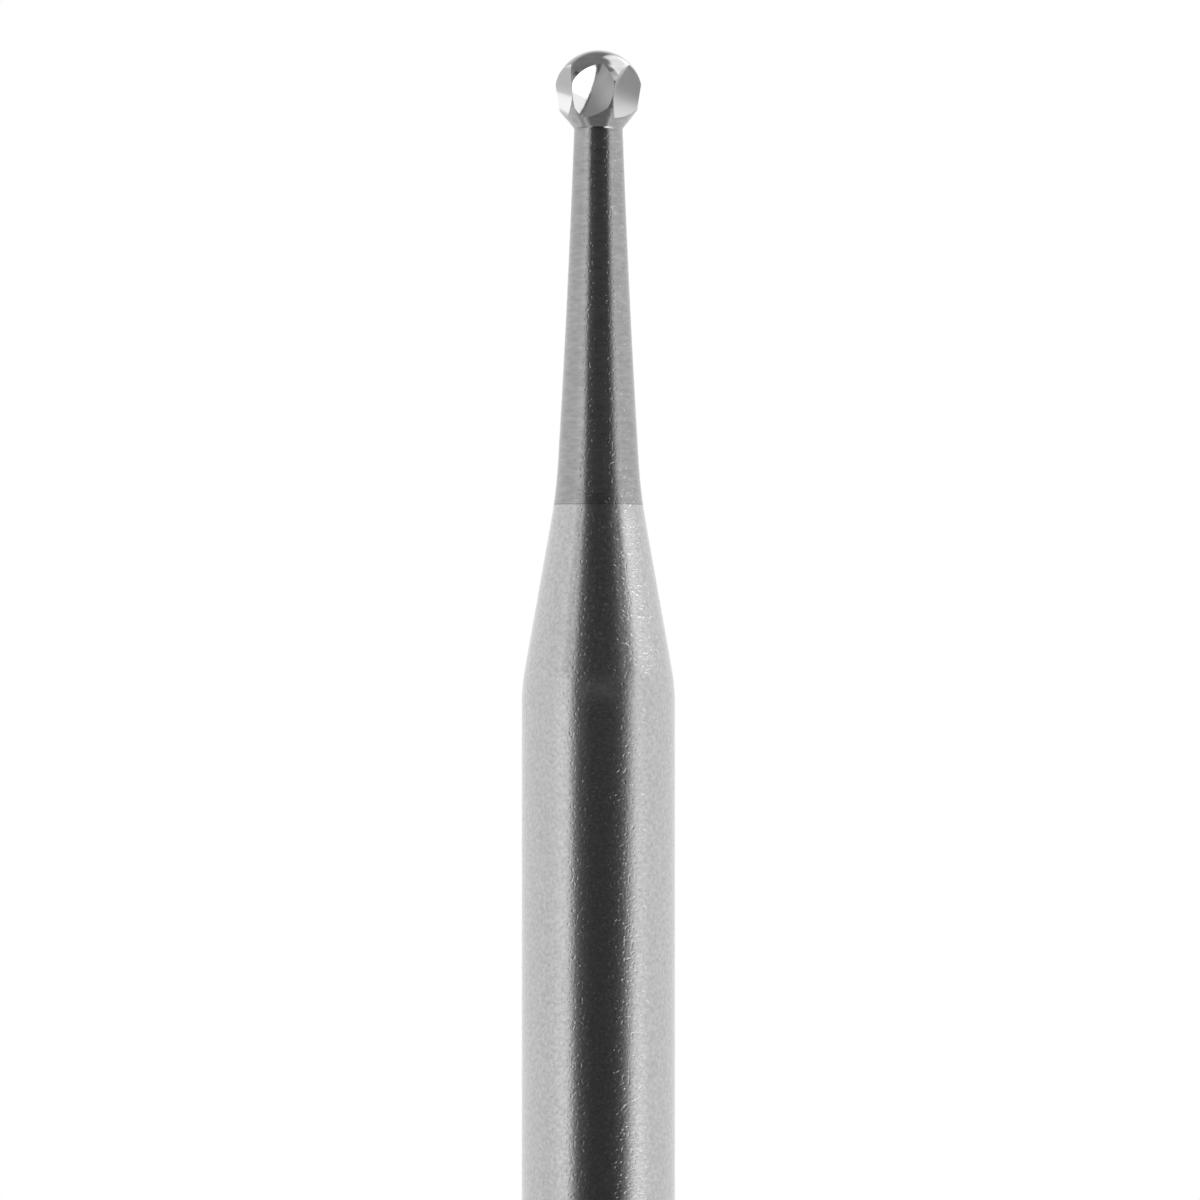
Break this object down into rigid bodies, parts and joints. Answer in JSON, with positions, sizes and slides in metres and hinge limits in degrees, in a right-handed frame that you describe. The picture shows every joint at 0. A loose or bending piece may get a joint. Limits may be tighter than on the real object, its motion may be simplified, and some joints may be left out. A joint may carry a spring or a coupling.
{
  "type": "carbide burr",
  "caption": "Round carbide burr: a small fluted ball head on a slim tapered neck, joined to a plain round steel shank.",
  "frame": {"origin": "centre of the flat end of the shank", "axes": "+Z along the axis from the shank's end to the head; -Y towards the side that the picture shows"},
  "size_m": [0.0016, 0.0016, 0.019],
  "materials": {
    "shank_steel": "finely ground stainless steel, satin",
    "tungsten_carbide": "ground tungsten carbide, satin neck and brighter ground blades"
  },
  "bodies": {
    "root": {"steel_shank": "shank_steel", "carbide_head_and_neck": "tungsten_carbide"}
  },
  "joints": []
}
